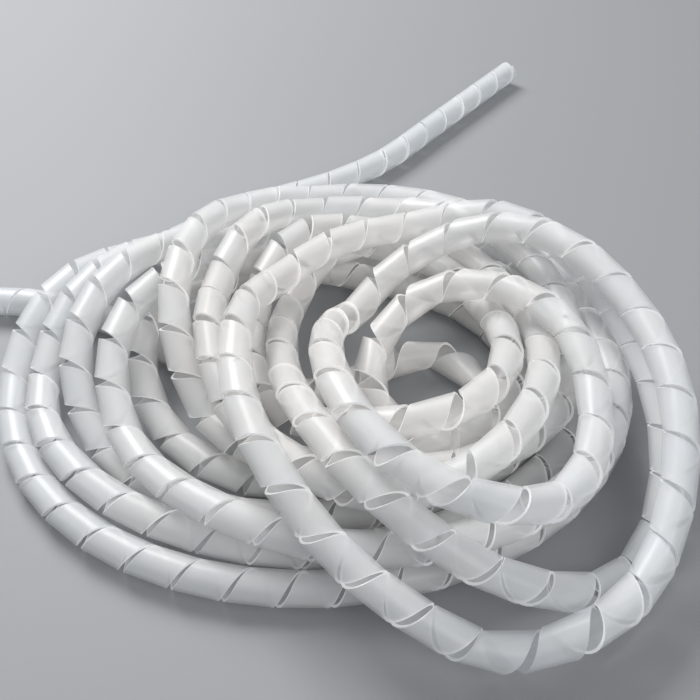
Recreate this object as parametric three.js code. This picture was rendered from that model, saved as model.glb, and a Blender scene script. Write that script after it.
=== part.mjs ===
import * as THREE from "three";

// Spiral cable wrap lying in a loose pile: one ribbon of soft polyethylene wound left-handed
// into a slit tube five metres long, with two free ends. Millimetres, Z up, floor at Z = 0.

// Driving dimensions
const TUBE_DIAMETER = 10;
const WALL = 0.8;
const LENGTH = 5000;
const PITCH = 14.3;
const SLIT = 0.9;
const RIBBON_WIDTH = PITCH - SLIT;
const INNER_EDGE_GAP = 0.3;
const CONTACT_SPACING = 1.1 * TUBE_DIAMETER;
const BUMP_RADIUS = 4.5 * TUBE_DIAMETER;
const PLAN_EASING = 0.9 * TUBE_DIAMETER;
const HEIGHT_EASING = 0.6 * TUBE_DIAMETER;
const BEND_EASING = 1.2 * TUBE_DIAMETER;
const STEPS_PER_TURN = 6;
const CORNERS_PER_QUARTER = 6;
const SPLIT_GAP = 0.4;
const TIP_LEFT_OFF = 0.04; // share of a turn, where a square cut would thin the ribbon's tip to nothing

const OUTER_RADIUS = TUBE_DIAMETER / 2;
const INNER_RADIUS = OUTER_RADIUS - WALL;

// Plan of the pile, in tube diameters
// The back free end runs straight in from behind and round to the left side, outside all the turns.
const BACK_END = [
  [7.7, 18.7],
  [5.6, 16.1],
  [3.6, 13.6],
  [1.5, 10.9],
  [-0.9, 9.1],
  [-4.0, 7.7],
  [-6.7, 5.5],
  [-8.6, 3.6],
  [-10.0, 1.6],
  [-10.7, -0.1],
];

// The leftmost, front, rightmost and back points of each turn, in the order they were laid.
const TURNS = [
  [[-10.95, -1.6], [-1.2, -9.6], [8.8, -1.2], [0.2, 6.5]],
  [[-9.85, -2.2], [-1.2, -8.5], [7.7, -1.2], [0.0, 5.4]],
  [[-8.75, -1.8], [-1.2, -7.4], [6.6, -1.2], [0.0, 4.3]],
  [[-6.85, -1.2], [-0.8, -6.3], [5.5, -1.2], [-0.6, 3.2]],
  [[-7.4, -2.4], [0.8, -9.05], [8.25, -2.6], [0.6, 7.1]],
  [[-5.6, -0.7], [0.9, -6.85], [7.15, -1.4], [0.6, 5.95]],
  [[-4.4, -1.2], [1.0, -7.95], [6.05, -1.8], [0.6, 4.85]],
  [[-3.3, -1.5], [1.6, -5.4], [4.95, -2.2], [0.8, 3.75]],
  [[-2.2, -1.5], [4.6, -10.3], [9.3, -5.2], [3.8, 3.7]],
  [[-3.4, -3.2], [4.4, -11.65], [9.3, -4.8], [3.6, 2.4]],
  [[-0.75, -3.5], [3.3, -9.3], [7.1, -4.4], [3.1, 0.3]],
  [[0.5, -2.6], [2.4, -4.9], [4.3, -2.8], [2.5, -0.5]],
];

// The left free end leaves the innermost turn across the eye of the pile and runs out on the floor, under
// all the others.
const LEFT_END = [
  [1.3, -1.1],
  [0.2, -2.0],
  [-1.0, -2.6],
  [-2.6, -2.6],
  [-4.6, -1.6],
  [-6.9, 0.1],
  [-9.0, 1.35],
  [-11.0, 1.9],
  [-13.0, 2.0],
  [-60.0, 2.0],
];

// A quarter of an ellipse between two points of a turn: it leaves one along one axis and meets the next
// along the other.
function quarter([x0, y0], [x1, y1], headsAlongY) {
  const points = [];
  for (let k = 0; k < CORNERS_PER_QUARTER; k++) {
    const degrees = (90 * k) / CORNERS_PER_QUARTER;
    const near = 1 - Math.cos((degrees * Math.PI) / 180);
    const far = Math.sin((degrees * Math.PI) / 180);
    const [xShare, yShare] = headsAlongY ? [near, far] : [far, near];
    points.push([x0 + (x1 - x0) * xShare, y0 + (y1 - y0) * yShare]);
  }
  return points;
}

// Corners of the whole route in plan: the back end, the turns and the left end.
function planPoints() {
  const stops = TURNS.flat();
  const points = BACK_END.slice();
  for (let k = 0; k + 1 < stops.length; k++) points.push(...quarter(stops[k], stops[k + 1], k % 2 === 0));
  points.push(stops[stops.length - 1], ...LEFT_END);
  return points.map(([x, y]) => [x * TUBE_DIAMETER, y * TUBE_DIAMETER]);
}

// Points spaced evenly along a polyline, as many as fit in the given length.
function resample(points, step, length) {
  const out = [points[0].slice()];
  let from = points[0];
  let need = step;
  for (let i = 1; i < points.length; i++) {
    const to = points[i];
    let run = Math.hypot(...to.map((v, k) => v - from[k]));
    while (run >= need) {
      from = from.map((v, k) => v + ((to[k] - v) * need) / run);
      out.push(from);
      run -= need;
      need = step;
      if (out.length * step > length) return out;
    }
    need -= run;
    from = to;
  }
  return out;
}

// Three running means, with the two ends held straight.
function smooth(values, half) {
  const n = values.length;
  const at = (list, i) =>
    i < 0 ? 2 * list[0] - list[-i] : i >= n ? 2 * list[n - 1] - list[2 * n - 2 - i] : list[i];
  let now = values.slice();
  for (let pass = 0; pass < 3; pass++) {
    const next = new Array(n);
    for (let i = 0; i < n; i++) {
      let sum = 0;
      for (let k = -half; k <= half; k++) sum += at(now, i + k);
      next[i] = sum / (2 * half + 1);
    }
    now = next;
  }
  return now;
}

// The route in plan, every millimetre. The innermost turn and the left end lie under everything else.
// It is laid out longer than the tube, which takes more of it up in its rises and falls.
const STEP = 1;
const LAID_OUT = LENGTH * 1.1;
const corners = planPoints();
const cornersBeforeInnermost = BACK_END.length + 4 * CORNERS_PER_QUARTER * (TURNS.length - 1);
const beforeInnermost = corners.slice(0, cornersBeforeInnermost + 1);
let plan = resample(corners, STEP, LAID_OUT);
const bottomShare = resample(beforeInnermost, STEP, LAID_OUT).length / plan.length;
const planWindow = Math.round(PLAN_EASING / STEP);
const planX = smooth(plan.map((p) => p[0]), planWindow);
const planY = smooth(plan.map((p) => p[1]), planWindow);
plan = planX.map((x, i) => [x, planY[i]]);
plan = resample(plan, STEP, LAID_OUT);
const bottomStart = Math.round(bottomShare * plan.length);

// Heights: the tube rests on the floor or on whatever was laid before it, and eases up to and down from
// each rest. It never rests on the stretch of itself that it has just left.
const OWN_STRETCH = 10 * TUBE_DIAMETER;
const CELLS_PER_ROW = 4096;
function layHeights(route, bottom) {
  const n = route.length;
  const skip = Math.round(OWN_STRETCH / STEP);
  const ahead = skip - 1;
  const rest = new Array(n).fill(OUTER_RADIUS);
  const height = new Array(n).fill(OUTER_RADIUS);
  const cells = new Map();
  const size = CONTACT_SPACING;
  const key = (x, y) => Math.floor(x / size) * CELLS_PER_ROW + Math.floor(y / size);
  const add = (i) => {
    const k = key(route[i][0], route[i][1]);
    if (!cells.has(k)) cells.set(k, []);
    cells.get(k).push(i);
  };
  const findRest = (i) => {
    const [x, y] = route[i];
    for (let a = -1; a <= 1; a++)
      for (let b = -1; b <= 1; b++)
        for (const j of cells.get(key(x + a * size, y + b * size)) || []) {
          if (Math.abs(i - j) < skip) continue;
          const d2 = (route[j][0] - x) ** 2 + (route[j][1] - y) ** 2;
          if (d2 < size * size) rest[i] = Math.max(rest[i], height[j] + Math.sqrt(size * size - d2));
        }
  };
  const eased = (i, from, to) => {
    let top = 0;
    for (let k = Math.max(from, i - ahead); k < Math.min(to, i + ahead); k++) {
      const rise = rest[k] - OUTER_RADIUS;
      if (rise <= top) continue;
      const t2 = ((i - k) * STEP) ** 2 / (4 * BUMP_RADIUS * rise);
      if (t2 < 1) top = Math.max(top, rise * (1 - t2) ** 2);
    }
    return OUTER_RADIUS + top;
  };
  const lay = (from, to, order) => {
    for (const i of order.slice(0, ahead)) findRest(i);
    order.forEach((i, k) => {
      if (k + ahead < order.length) findRest(order[k + ahead]);
      height[i] = eased(i, from, to);
      add(i);
    });
  };
  const all = rest.map((_, i) => i);
  lay(bottom, n, all.slice(bottom).reverse());
  lay(0, bottom, all.slice(0, bottom));
  for (let i = bottom - ahead; i < bottom + ahead; i++) height[i] = eased(i, 0, n);
  return smooth(height, Math.round(HEIGHT_EASING / STEP));
}
const heights = layHeights(plan, bottomStart);
const path = resample(
  plan.map(([x, y], i) => [x, y, heights[i]]),
  STEP,
  LENGTH,
);

// Unit tangents and the bend of the centre line
const count = path.length;
const tangents = path.map((p, i) => {
  const a = path[Math.max(0, i - 2)];
  const b = path[Math.min(count - 1, i + 2)];
  return new THREE.Vector3(b[0] - a[0], b[1] - a[1], b[2] - a[2]).normalize();
});
const bend = smooth(
  tangents.map(
    (t, i) =>
      tangents[Math.max(0, i - 4)].angleTo(tangents[Math.min(count - 1, i + 4)]) / (8 * STEP),
  ),
  Math.round(BEND_EASING / STEP),
);

// Turns counted along the route: in a bend the inner edges touch, so the pitch opens there.
const turnsAt = [0];
for (let i = 1; i < count; i++) {
  const pitch = Math.max(PITCH, (RIBBON_WIDTH + INNER_EDGE_GAP) / (1 - OUTER_RADIUS * bend[i]));
  turnsAt.push(turnsAt[i - 1] + STEP / pitch);
}
const fullLength = (count - 1) * STEP;

function stationOfTurn(turn) {
  let low = 0;
  let high = count - 1;
  while (high - low > 1) {
    const mid = (low + high) >> 1;
    if (turnsAt[mid] <= turn) low = mid;
    else high = mid;
  }
  return (low + (turn - turnsAt[low]) / (turnsAt[high] - turnsAt[low])) * STEP;
}

function frameAt(station) {
  const f = Math.min(Math.max(station / STEP, 0), count - 1.000001);
  const i = Math.floor(f);
  const centre = new THREE.Vector3(...path[i]).lerp(new THREE.Vector3(...path[i + 1]), f - i);
  centre.addScaledVector(tangents[f < 1 ? 0 : i], Math.min(0, station));
  centre.addScaledVector(tangents[i], Math.max(0, station - fullLength));
  const along = tangents[i].clone().lerp(tangents[i + 1], f - i).normalize();
  const side = along.clone().cross(new THREE.Vector3(0, 0, 1)).normalize();
  const up = side.clone().cross(along);
  return { centre, along, side, up };
}

// The ribbon between two counts of turns, as one closed body. A ring of four corners stands at each step;
// the ribbon is cut square across the tube at both free ends of the route.
function ribbon(fromTurn, toTurn) {
  const corners = [];
  const steps = Math.round((toTurn - fromTurn) * STEPS_PER_TURN);
  for (let k = 0; k <= steps; k++) {
    const turn = fromTurn + ((toTurn - fromTurn) * k) / steps;
    const overStart = turnsAt[0] - turn;
    const overEnd = turn - turnsAt[count - 1];
    const station =
      overStart > 0 ? -overStart * PITCH : overEnd > 0 ? fullLength + overEnd * PITCH : stationOfTurn(turn);
    const { centre, along, side, up } = frameAt(station);
    const angle = 2 * Math.PI * turn - Math.PI / 2;
    const out = side.multiplyScalar(Math.cos(angle)).addScaledVector(up, Math.sin(angle));
    const back = Math.max(-RIBBON_WIDTH / 2, -station);
    const fore = Math.min(RIBBON_WIDTH / 2, fullLength - station);
    for (const [radius, shift] of [
      [OUTER_RADIUS, back],
      [OUTER_RADIUS, fore],
      [INNER_RADIUS, fore],
      [INNER_RADIUS, back],
    ])
      corners.push(centre.clone().addScaledVector(out, radius).addScaledVector(along, shift));
  }
  const faces = [0, 2, 1, 0, 3, 2];
  for (let k = 0; k < steps; k++)
    for (let c = 0; c < 4; c++) {
      const a = 4 * k + c;
      const b = 4 * k + ((c + 1) % 4);
      faces.push(a, b, b + 4, a, b + 4, a + 4);
    }
  const e = 4 * steps;
  faces.push(e, e + 1, e + 2, e, e + 2, e + 3);
  const geometry = new THREE.BufferGeometry().setFromPoints(corners);
  geometry.setIndex(faces);
  return geometry;
}

// Solids: the pile is one ribbon, built as a lower and an upper stretch that meet end to end
const lastTurn = turnsAt[count - 1];
const tip = RIBBON_WIDTH / 2 / PITCH - TIP_LEFT_OFF;
const middle = Math.round(lastTurn / 2);
const hairline = SPLIT_GAP / 2 / (2 * Math.PI * OUTER_RADIUS);
const stretches = {
  wrap_lower_turns: ribbon(-tip, middle - hairline),
  wrap_upper_turns: ribbon(middle + hairline, lastTurn + tip),
};

// The pile stands on the floor, centred on its own box.
const box = new THREE.Box3();
for (const geometry of Object.values(stretches)) {
  geometry.computeBoundingBox();
  box.union(geometry.boundingBox);
}
const shift = new THREE.Vector3(-(box.min.x + box.max.x) / 2, -(box.min.y + box.max.y) / 2, -box.min.z);

const part = new THREE.Group();
for (const [name, geometry] of Object.entries(stretches)) {
  geometry.translate(shift.x, shift.y, shift.z);
  const mesh = new THREE.Mesh(geometry, new THREE.MeshStandardMaterial({ color: 0xe9ecec, roughness: 0.4 }));
  mesh.name = name;
  part.add(mesh);
}

export default part;
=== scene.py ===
"""A loose pile of translucent spiral cable wrap: one ribbon of soft polyethylene, wound left-handed
into a slit tube five metres long, with two free ends. Metres, Z up, floor at Z = 0."""

import math

import bpy
import numpy as np
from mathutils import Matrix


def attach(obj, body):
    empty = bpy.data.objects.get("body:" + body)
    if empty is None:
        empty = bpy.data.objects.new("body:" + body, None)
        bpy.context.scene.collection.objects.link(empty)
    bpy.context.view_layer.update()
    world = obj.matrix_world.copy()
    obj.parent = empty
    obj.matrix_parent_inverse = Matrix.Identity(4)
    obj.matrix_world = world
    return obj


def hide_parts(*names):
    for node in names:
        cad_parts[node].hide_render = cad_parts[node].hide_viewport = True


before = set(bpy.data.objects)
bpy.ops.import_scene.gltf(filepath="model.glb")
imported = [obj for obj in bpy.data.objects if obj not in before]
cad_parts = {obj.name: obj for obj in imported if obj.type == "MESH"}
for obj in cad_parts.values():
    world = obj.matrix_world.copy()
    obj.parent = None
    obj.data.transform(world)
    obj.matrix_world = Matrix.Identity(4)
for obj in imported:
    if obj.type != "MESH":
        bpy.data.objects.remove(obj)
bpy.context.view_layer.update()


# The route of the tube
# The wrap is pushed off its reel on to the floor and falls in twelve loose turns, each lying on
# those before it. The route is the line down the middle of the tube, first in plan, then in height.
MM = 0.001
TUBE_DIAMETER = 10.0
LENGTH = 5000.0
LAID_OUT = LENGTH * 1.1
STEP = 1.0
CORNERS_PER_QUARTER = 6
OUTER_RADIUS = TUBE_DIAMETER / 2
CONTACT_SPACING = 1.1 * TUBE_DIAMETER
OWN_STRETCH = 10 * TUBE_DIAMETER
BUMP_RADIUS = 4.5 * TUBE_DIAMETER
PLAN_EASING = 0.9 * TUBE_DIAMETER
HEIGHT_EASING = 0.6 * TUBE_DIAMETER

# The back free end runs straight in from behind and round to the left side, outside all the turns. These
# points and the next are in tube diameters.
BACK_END = [
    (7.7, 18.7),
    (5.6, 16.1),
    (3.6, 13.6),
    (1.5, 10.9),
    (-0.9, 9.1),
    (-4.0, 7.7),
    (-6.7, 5.5),
    (-8.6, 3.6),
    (-10.0, 1.6),
    (-10.7, -0.1),
]

# The leftmost, front, rightmost and back points of each turn, in the order they were laid.
TURNS = [
    ((-10.95, -1.6), (-1.2, -9.6), (8.8, -1.2), (0.2, 6.5)),
    ((-9.85, -2.2), (-1.2, -8.5), (7.7, -1.2), (0.0, 5.4)),
    ((-8.75, -1.8), (-1.2, -7.4), (6.6, -1.2), (0.0, 4.3)),
    ((-6.85, -1.2), (-0.8, -6.3), (5.5, -1.2), (-0.6, 3.2)),
    ((-7.4, -2.4), (0.8, -9.05), (8.25, -2.6), (0.6, 7.1)),
    ((-5.6, -0.7), (0.9, -6.85), (7.15, -1.4), (0.6, 5.95)),
    ((-4.4, -1.2), (1.0, -7.95), (6.05, -1.8), (0.6, 4.85)),
    ((-3.3, -1.5), (1.6, -5.4), (4.95, -2.2), (0.8, 3.75)),
    ((-2.2, -1.5), (4.6, -10.3), (9.3, -5.2), (3.8, 3.7)),
    ((-3.4, -3.2), (4.4, -11.65), (9.3, -4.8), (3.6, 2.4)),
    ((-0.75, -3.5), (3.3, -9.3), (7.1, -4.4), (3.1, 0.3)),
    ((0.5, -2.6), (2.4, -4.9), (4.3, -2.8), (2.5, -0.5)),
]

# The left free end leaves the innermost turn across the eye of the pile and runs out on the floor, under
# all the others.
LEFT_END = [
    (1.3, -1.1),
    (0.2, -2.0),
    (-1.0, -2.6),
    (-2.6, -2.6),
    (-4.6, -1.6),
    (-6.9, 0.1),
    (-9.0, 1.35),
    (-11.0, 1.9),
    (-13.0, 2.0),
    (-60.0, 2.0),
]


def quarter(start, stop, heads_along_y):
    """A quarter of an ellipse between two points of a turn: it leaves one along one axis and meets the
    next along the other."""
    points = []
    for k in range(CORNERS_PER_QUARTER):
        degrees = 90 * k / CORNERS_PER_QUARTER
        near = 1 - math.cos(math.radians(degrees))
        far = math.sin(math.radians(degrees))
        x_share, y_share = (near, far) if heads_along_y else (far, near)
        points.append((start[0] + (stop[0] - start[0]) * x_share, start[1] + (stop[1] - start[1]) * y_share))
    return points


def plan_points():
    """Corners of the whole route in plan: the back end, the turns and the left end."""
    stops = [stop for turn in TURNS for stop in turn]
    points = list(BACK_END)
    for k in range(len(stops) - 1):
        points += quarter(stops[k], stops[k + 1], k % 2 == 0)
    return np.array(points + [stops[-1]] + LEFT_END) * TUBE_DIAMETER


def resample(points, step, length):
    """Points at even distances along a polyline, from its start to the given length or its end."""
    along = np.concatenate([[0], np.cumsum(np.linalg.norm(np.diff(points, axis=0), axis=1))])
    count = int(min(length, along[-1] - 1e-9) / step) + 1
    at = np.arange(count) * step
    return np.stack([np.interp(at, along, column) for column in points.T], axis=1)


def smooth(values, half):
    """Three running means of 2 half + 1 values, with both ends carried on straight."""
    window = np.full(2 * half + 1, 1 / (2 * half + 1))
    for _ in range(3):
        padded = np.pad(values, half, mode="reflect", reflect_type="odd")
        values = np.convolve(padded, window, mode="valid")
    return values


# The innermost turn and the left end are laid first, so the route is parted where that turn starts. It runs
# on past the wrap's length, and is cut to it last.
corner_points = plan_points()
corners_before_innermost = len(BACK_END) + 4 * CORNERS_PER_QUARTER * (len(TURNS) - 1)
before_innermost = corner_points[: corners_before_innermost + 1]
plan = resample(corner_points, STEP, LAID_OUT)
bottom_share = len(resample(before_innermost, STEP, LAID_OUT)) / len(plan)
plan = np.stack([smooth(column, round(PLAN_EASING / STEP)) for column in plan.T], axis=1)
plan = resample(plan, STEP, LAID_OUT)
bottom_start = int(round(bottom_share * len(plan)))


def lay_heights(route, bottom):
    """Height of each point of the route. A point rests on the floor, or on any stretch laid before it
    that is nearer in plan than the contact spacing, at the height where the two tubes touch. A point's own
    stretch of tube, on either side of it, is no rest for it. Between rests the tube eases down as
    rise * (1 - (distance / reach)^2)^2, reach = 2 sqrt(bump radius * rise)."""
    n = len(route)
    skip = int(round(OWN_STRETCH / STEP))
    ahead = skip - 1
    rest = np.full(n, OUTER_RADIUS)
    height = np.full(n, OUTER_RADIUS)
    laid = np.zeros(n, bool)
    index = np.arange(n)

    def find_rest(i):
        d2 = ((route - route[i]) ** 2).sum(1)
        touching = laid & (d2 < CONTACT_SPACING**2) & (np.abs(index - i) >= skip)
        if touching.any():
            top = height[touching] + np.sqrt(CONTACT_SPACING**2 - d2[touching])
            rest[i] = max(rest[i], top.max())

    def eased(i, start, stop):
        k = np.arange(max(start, i - ahead), min(stop, i + ahead))
        rise = rest[k] - OUTER_RADIUS
        t2 = ((i - k) * STEP) ** 2 / np.maximum(4 * BUMP_RADIUS * rise, 1e-9)
        return OUTER_RADIUS + (rise * np.clip(1 - t2, 0, 1) ** 2).max()

    for stretch in (range(n - 1, bottom - 1, -1), range(bottom)):
        start, stop = min(stretch), max(stretch) + 1
        for i in stretch[:ahead]:
            find_rest(i)
        for k, i in enumerate(stretch):
            if k + ahead < len(stretch):
                find_rest(stretch[k + ahead])
            height[i] = eased(i, start, stop)
            laid[i] = True
    for i in range(bottom - ahead, bottom + ahead):
        height[i] = eased(i, 0, n)
    return smooth(height, round(HEIGHT_EASING / STEP))


heights = lay_heights(plan, bottom_start)
path = resample(np.column_stack([plan, heights]), STEP, LENGTH)
count = len(path)
full_length = (count - 1) * STEP


# The spiral ribbon
# One band of low-density polyethylene, 13.4 mm wide and 0.8 mm thick, extruded as a tube and slit along a
# helix. In a bend the inner edges of its turns touch and the outer edges open to show the bore.
WALL = 0.8
PITCH = 14.3
SLIT = 0.9
RIBBON_WIDTH = PITCH - SLIT
BEND_EASING = 1.2 * TUBE_DIAMETER
INNER_EDGE_GAP = 0.3
INNER_RADIUS = OUTER_RADIUS - WALL
EDGE_CHAMFER = 0.1
STEPS_PER_TURN = 24
TANGENT_SPAN = 2
BEND_SPAN = 4
SHARP_FROM_DEGREES = 30.0


def unit(vectors):
    """Vectors scaled to length one, along the last axis."""
    return vectors / np.linalg.norm(vectors, axis=-1, keepdims=True)


# The tube's direction at each step of the route, the cosine of its turning over the bend span on both
# sides, and from these the bend (1 / radius), the pitch that the bend opens and the turns made so far.
order = np.arange(count)
tangents = unit(path[np.minimum(order + TANGENT_SPAN, count - 1)] - path[np.maximum(order - TANGENT_SPAN, 0)])
before = tangents[np.maximum(order - BEND_SPAN, 0)]
after = tangents[np.minimum(order + BEND_SPAN, count - 1)]
turned = (before * after).sum(1)
bend = smooth(np.arccos(np.clip(turned, -1, 1)) / (2 * BEND_SPAN * STEP), round(BEND_EASING / STEP))
pitch = np.maximum(PITCH, (RIBBON_WIDTH + INNER_EDGE_GAP) / (1 - OUTER_RADIUS * bend))
turns_at = np.concatenate([[0], np.cumsum(STEP / pitch[1:])])


def frames_at(stations):
    """Centre, direction along the tube, level side and up vectors at distances along the route. Before its
    start and past its end the tube is carried on straight."""
    f = np.clip(stations / STEP, 0, count - 1.000001)
    i = np.floor(f).astype(int)
    share = (f - i)[:, None]
    centre = path[i] * (1 - share) + path[i + 1] * share
    centre = centre + tangents[np.where(f < 1, 0, i)] * np.minimum(0, stations)[:, None]
    centre = centre + tangents[i] * np.maximum(0, stations - full_length)[:, None]
    along = unit(tangents[i] * (1 - share) + tangents[i + 1] * share)
    side = unit(np.cross(along, [0.0, 0.0, 1.0]))
    return centre, along, side, np.cross(side, along)


def ribbon_rings(from_turn, to_turn, steps_per_turn, section):
    """Rings of points along the ribbon. At turn t the ribbon's cross-section stands at station s(t), its
    radius pointing at angle 2 pi t - 90 degrees round the tube and its width lying straight along it:
    point = centre + radius * (cos side + sin up) + shift * along. The width is cut by both end planes.
    section lists (radius, which edge, inset) of each corner, edge -1 towards the start and 1 towards
    the end."""
    steps = int(round((to_turn - from_turn) * steps_per_turn))
    turn = from_turn + (to_turn - from_turn) * np.arange(steps + 1) / steps
    station = np.interp(turn, turns_at, order * STEP)
    station = station + np.minimum(turn, 0) * PITCH + np.maximum(turn - turns_at[-1], 0) * PITCH
    centre, along, side, up = frames_at(station)
    angle = 2 * np.pi * turn - np.pi / 2
    out = side * np.cos(angle)[:, None] + up * np.sin(angle)[:, None]
    back = np.maximum(-RIBBON_WIDTH / 2, -station)
    fore = np.minimum(RIBBON_WIDTH / 2, full_length - station)
    rings = []
    for radius, edge, inset in section:
        held_in = np.minimum(inset, (fore - back) / 3)
        shift = fore - held_in if edge > 0 else back + held_in
        rings.append(centre + out * radius + along * shift[:, None])
    return np.stack(rings, axis=1), turn


# The ribbon's section with chamfered edges, corner by corner. The faces that start at the cut corners are
# those of the slit.
ROUNDED_SECTION = [
    (OUTER_RADIUS, -1, EDGE_CHAMFER),
    (OUTER_RADIUS, 1, EDGE_CHAMFER),
    (OUTER_RADIUS - EDGE_CHAMFER, 1, 0),
    (INNER_RADIUS + EDGE_CHAMFER, 1, 0),
    (INNER_RADIUS, 1, EDGE_CHAMFER),
    (INNER_RADIUS, -1, EDGE_CHAMFER),
    (INNER_RADIUS + EDGE_CHAMFER, -1, 0),
    (OUTER_RADIUS - EDGE_CHAMFER, -1, 0),
]
CUT_CORNERS = [1, 2, 3, 5, 6, 7]

# The CAD solids have six facets a turn and plain edges, and meet at a hairline at mid length. Their box,
# worked out the same way, gives the place of the pile in the frame. The square cuts at both ends would thin
# the ribbon's tips to nothing, so a small share of a turn is left off each.
CAD_STEPS_PER_TURN = 6
SPLIT_GAP = 0.4
TIP_LEFT_OFF = 0.04
PLAIN_SECTION = [(OUTER_RADIUS, -1, 0), (OUTER_RADIUS, 1, 0), (INNER_RADIUS, 1, 0), (INNER_RADIUS, -1, 0)]
tip = RIBBON_WIDTH / 2 / PITCH - TIP_LEFT_OFF
last_turn = turns_at[-1]
middle = round(last_turn / 2)
hairline = SPLIT_GAP / 2 / (2 * math.pi * OUTER_RADIUS)
solids = np.concatenate(
    [
        ribbon_rings(-tip, middle - hairline, CAD_STEPS_PER_TURN, PLAIN_SECTION)[0].reshape(-1, 3),
        ribbon_rings(middle + hairline, last_turn + tip, CAD_STEPS_PER_TURN, PLAIN_SECTION)[0].reshape(-1, 3),
    ]
)
low, high = solids.min(0), solids.max(0)
shift = np.array([-(low[0] + high[0]) / 2, -(low[1] + high[1]) / 2, -low[2]])


def closed_ribbon(name, rings, turn, on_tube):
    """A mesh from rings of corners: quads between neighbouring rings, and a flat face over each end. The
    faces of the slit and both ends have the second material. Two attributes are kept on the points: the
    turn's number and the place on the tube."""
    ring_count, corners = rings.shape[:2]
    base = np.arange(ring_count - 1)[:, None] * corners
    c = np.arange(corners)[None, :]
    d = (c + 1) % corners
    quads = np.stack([base + c, base + d, base + d + corners, base + c + corners], axis=-1).reshape(-1, 4)
    mesh = bpy.data.meshes.new(name)
    last = (ring_count - 1) * corners
    ends = [list(range(corners - 1, -1, -1)), list(range(last, last + corners))]
    mesh.from_pydata(((rings + shift) * MM).reshape(-1, 3).tolist(), [], quads.tolist() + ends)
    layer = mesh.attributes.new("turn", "FLOAT", "POINT")
    layer.data.foreach_set("value", np.repeat(turn, corners).astype(np.float32))
    layer = mesh.attributes.new("on_tube", "FLOAT_VECTOR", "POINT")
    layer.data.foreach_set("vector", on_tube.ravel().astype(np.float32))
    cut_faces = np.isin(np.tile(np.arange(corners), ring_count - 1), CUT_CORNERS)
    mesh.polygons.foreach_set("material_index", np.append(cut_faces, [True, True]).astype(np.int32))
    mesh.polygons.foreach_set("use_smooth", np.ones(len(mesh.polygons), bool))
    mesh.set_sharp_from_angle(angle=math.radians(SHARP_FROM_DEGREES))
    mesh.validate()
    mesh.update()
    made = bpy.data.objects.new(name, mesh)
    bpy.context.scene.collection.objects.link(made)
    return made


rings, turn = ribbon_rings(-tip, last_turn + tip, STEPS_PER_TURN, ROUNDED_SECTION)

# Where each corner was on the extruded tube: (cos, sin) of its angle round it, and its distance along it in
# tube diameters.
edge_offsets = np.array([edge * RIBBON_WIDTH / 2 for _, edge, _ in ROUNDED_SECTION])
along_tube = np.interp(turn, turns_at, order * STEP)[:, None] + edge_offsets
angle = np.broadcast_to(2 * np.pi * turn[:, None], along_tube.shape)
on_tube = np.stack([np.cos(angle), np.sin(angle), along_tube / TUBE_DIAMETER], axis=-1)
wrap = closed_ribbon("spiral_wrap", rings, turn, on_tube)

# The plastic's finish and its painted light: the middle of the pile, the distances from it (metres) at which
# its painted warmth starts to fade and has gone, what painted warmth they add inside and painted cool shade
# they take outside, the size of the clouds, how much the turns differ, the size and depth of the die lines,
# across and along the tube, and the plastic's refractive index.
PILE_MIDDLE = (0.05, -0.05, 0.02)
FADES_FROM = 0.04
FADES_TO = 0.12
PAINTED_WARMTH_INSIDE = 0.35
PAINTED_COOLNESS_OUTSIDE = -0.45
CLOUD_SCALE = 90
TURNS_DIFFER = 0.2
DIE_LINE_SCALE = (12, 12, 0.8)
DIE_LINE_DEPTH = 0.0001
REFRACTIVE_INDEX = 1.51


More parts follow.
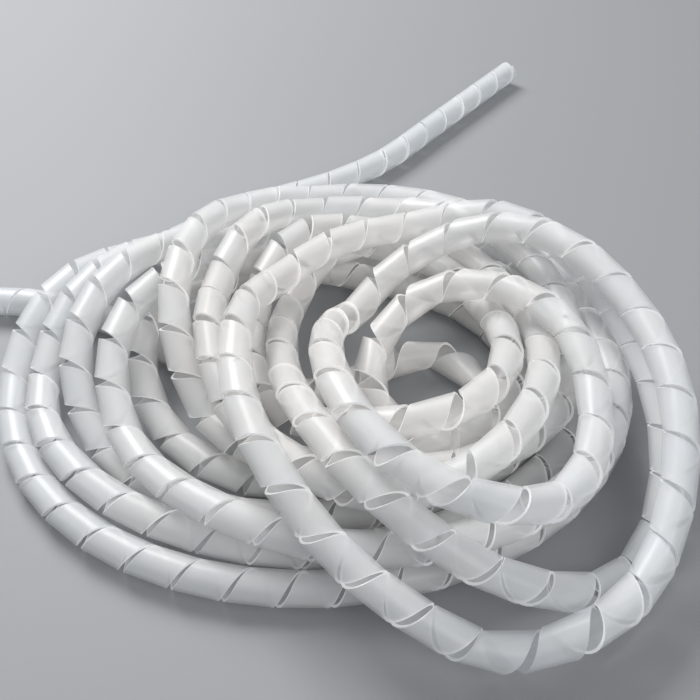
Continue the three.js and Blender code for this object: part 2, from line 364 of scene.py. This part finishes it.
def polyethylene(name, cool_colour, warm_colour, roughness, alpha, painted_glow, bump):
    """Milky translucent plastic with broad clouding, a little difference from turn to turn, and fine lines
    along the tube from the extrusion die. Painted light: it is painted warmer in the middle of the pile,
    standing in for light scattered through the many layers that lie together there, and painted cooler at the
    outside as shade, and it can be given a painted glow (emission)."""
    material = bpy.data.materials.new(name)
    material.use_nodes = True
    tree = material.node_tree
    shader = tree.nodes["Principled BSDF"]
    coordinates = tree.nodes.new("ShaderNodeTexCoord")

    clouds = tree.nodes.new("ShaderNodeTexNoise")
    clouds.inputs["Scale"].default_value = CLOUD_SCALE
    clouds.inputs["Detail"].default_value = 2
    tree.links.new(coordinates.outputs["Object"], clouds.inputs["Vector"])

    turn_number = tree.nodes.new("ShaderNodeAttribute")
    turn_number.attribute_name = "turn"
    whole_turn = tree.nodes.new("ShaderNodeMath")
    whole_turn.operation = "FLOOR"
    tree.links.new(turn_number.outputs["Fac"], whole_turn.inputs[0])
    by_turn = tree.nodes.new("ShaderNodeTexWhiteNoise")
    by_turn.noise_dimensions = "1D"
    tree.links.new(whole_turn.outputs[0], by_turn.inputs["W"])

    # Painted light: the colour is painted warmer towards the middle of the pile, standing in for light
    # scattered through the many layers that lie together there, and painted cooler at the outside as painted
    # shade.
    from_middle = tree.nodes.new("ShaderNodeVectorMath")
    from_middle.operation = "DISTANCE"
    from_middle.inputs[1].default_value = PILE_MIDDLE
    tree.links.new(coordinates.outputs["Object"], from_middle.inputs[0])
    painted_warmth = tree.nodes.new("ShaderNodeMapRange")
    painted_warmth.inputs["From Min"].default_value = FADES_FROM
    painted_warmth.inputs["From Max"].default_value = FADES_TO
    painted_warmth.inputs["To Min"].default_value = PAINTED_WARMTH_INSIDE
    painted_warmth.inputs["To Max"].default_value = PAINTED_COOLNESS_OUTSIDE
    tree.links.new(from_middle.outputs["Value"], painted_warmth.inputs["Value"])

    varied = tree.nodes.new("ShaderNodeMath")
    varied.operation = "MULTIPLY_ADD"
    varied.inputs[1].default_value = TURNS_DIFFER
    tree.links.new(by_turn.outputs["Value"], varied.inputs[0])
    tree.links.new(clouds.outputs["Fac"], varied.inputs[2])
    share = tree.nodes.new("ShaderNodeMath")
    share.operation = "ADD"
    share.use_clamp = True
    tree.links.new(varied.outputs[0], share.inputs[0])
    tree.links.new(painted_warmth.outputs["Result"], share.inputs[1])
    colour = tree.nodes.new("ShaderNodeMix")
    colour.data_type = "RGBA"
    colour.inputs["A"].default_value = cool_colour
    colour.inputs["B"].default_value = warm_colour
    tree.links.new(share.outputs[0], colour.inputs["Factor"])
    tree.links.new(colour.outputs["Result"], shader.inputs["Base Color"])

    tube_place = tree.nodes.new("ShaderNodeAttribute")
    tube_place.attribute_name = "on_tube"
    stretch = tree.nodes.new("ShaderNodeVectorMath")
    stretch.operation = "MULTIPLY"
    stretch.inputs[1].default_value = DIE_LINE_SCALE
    tree.links.new(tube_place.outputs["Vector"], stretch.inputs[0])
    die_lines = tree.nodes.new("ShaderNodeTexNoise")
    die_lines.inputs["Scale"].default_value = 1
    die_lines.inputs["Detail"].default_value = 3
    tree.links.new(stretch.outputs[0], die_lines.inputs["Vector"])
    relief = tree.nodes.new("ShaderNodeBump")
    relief.inputs["Strength"].default_value = bump
    relief.inputs["Distance"].default_value = DIE_LINE_DEPTH
    tree.links.new(die_lines.outputs["Fac"], relief.inputs["Height"])
    tree.links.new(relief.outputs["Normal"], shader.inputs["Normal"])

    shader.inputs["Roughness"].default_value = roughness
    shader.inputs["IOR"].default_value = REFRACTIVE_INDEX
    shader.inputs["Alpha"].default_value = alpha
    # Painted light: a glow (emission), varied from turn to turn, makes these faces shine though no lamp
    # lights them.
    if painted_glow > 0:
        tree.links.new(by_turn.outputs["Value"], shader.inputs["Emission Color"])
        shader.inputs["Emission Strength"].default_value = painted_glow
    return material


# Each wall shows what is behind it through both of its faces. The cut edges are the brightest lines on it:
# they carry painted light, an emission glow standing in for light that has run along inside the ribbon and
# comes out there.
# The two whites are mixed by the clouding, the turn and the painted warmth of the middle of the pile.
COOL_WHITE = (0.91, 0.94, 0.965, 1)
WARM_WHITE = (0.985, 0.965, 0.945, 1)
frosted = polyethylene(
    "frosted_polyethylene", COOL_WHITE, WARM_WHITE, roughness=0.28, alpha=0.42, painted_glow=0.0, bump=0.4
)
cut = polyethylene("cut_polyethylene", COOL_WHITE, WARM_WHITE, roughness=0.4, alpha=0.7, painted_glow=0.3, bump=0.1)
wrap.data.materials.append(frosted)
wrap.data.materials.append(cut)

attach(wrap, "root")
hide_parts("wrap_lower_turns", "wrap_upper_turns")


# The camera
# It looks 45 degrees down at the middle of the pile from 22 tube diameters up and as far in front. Its focal
# length is counted in pixels of a picture 700 wide.
CAMERA_DISTANCE = 22.0
CAMERA_TILT = 45.0
FOCAL_PIXELS = 900.0
IMAGE_PIXELS = 700.0
SENSOR_WIDTH = 36.0
aim = shift * MM
camera_data = bpy.data.cameras.new("camera")
camera_data.sensor_width = SENSOR_WIDTH
camera_data.lens = SENSOR_WIDTH * FOCAL_PIXELS / IMAGE_PIXELS
camera = bpy.data.objects.new("camera", camera_data)
distance = CAMERA_DISTANCE * TUBE_DIAMETER * MM
camera.location = (aim[0], aim[1] - distance, aim[2] + distance)
camera.rotation_euler = (math.radians(CAMERA_TILT), 0, 0)
bpy.context.scene.collection.objects.link(camera)
bpy.context.scene.camera = camera


# The studio
# A pale floor under a soft grey room, with one large light from the back left and a weaker one in front.
FLOOR_HALF = 6.0
FLOOR_GREY = (0.33, 0.338, 0.35, 1)
ROOM_GREY = (0.75, 0.78, 0.82, 1)
ROOM_STRENGTH = 0.36
floor_corners = [(x * FLOOR_HALF, y * FLOOR_HALF, 0) for x, y in ((-1, -1), (1, -1), (1, 1), (-1, 1))]
floor_mesh = bpy.data.meshes.new("floor")
floor_mesh.from_pydata(floor_corners, [], [(0, 1, 2, 3)])
floor = bpy.data.objects.new("floor", floor_mesh)
bpy.context.scene.collection.objects.link(floor)
floor_material = bpy.data.materials.new("pale_floor")
floor_material.use_nodes = True
floor_shader = floor_material.node_tree.nodes["Principled BSDF"]
floor_shader.inputs["Base Color"].default_value = FLOOR_GREY
floor_shader.inputs["Roughness"].default_value = 0.6
floor_mesh.materials.append(floor_material)

world = bpy.data.worlds.new("room")
world.use_nodes = True
world.node_tree.nodes["Background"].inputs["Color"].default_value = ROOM_GREY
world.node_tree.nodes["Background"].inputs["Strength"].default_value = ROOM_STRENGTH
bpy.context.scene.world = world
bpy.context.scene.view_settings.view_transform = "Standard"


def area_light(name, place, target, size, watts):
    """A square soft light at place, facing target."""
    data = bpy.data.lights.new(name, "AREA")
    data.size = size
    data.energy = watts
    light = bpy.data.objects.new(name, data)
    x, y, z = np.array(target) - np.array(place)
    light.rotation_euler = (math.atan2(math.hypot(x, y), -z), 0, math.atan2(y, x) - math.pi / 2)
    light.location = place
    bpy.context.scene.collection.objects.link(light)


area_light("back_light", place=(-0.35, 0.55, 0.75), target=(0, 0, 0), size=0.5, watts=10.5)
area_light("front_light", place=(0.5, -0.6, 0.7), target=(0, 0, 0), size=0.6, watts=3.0)
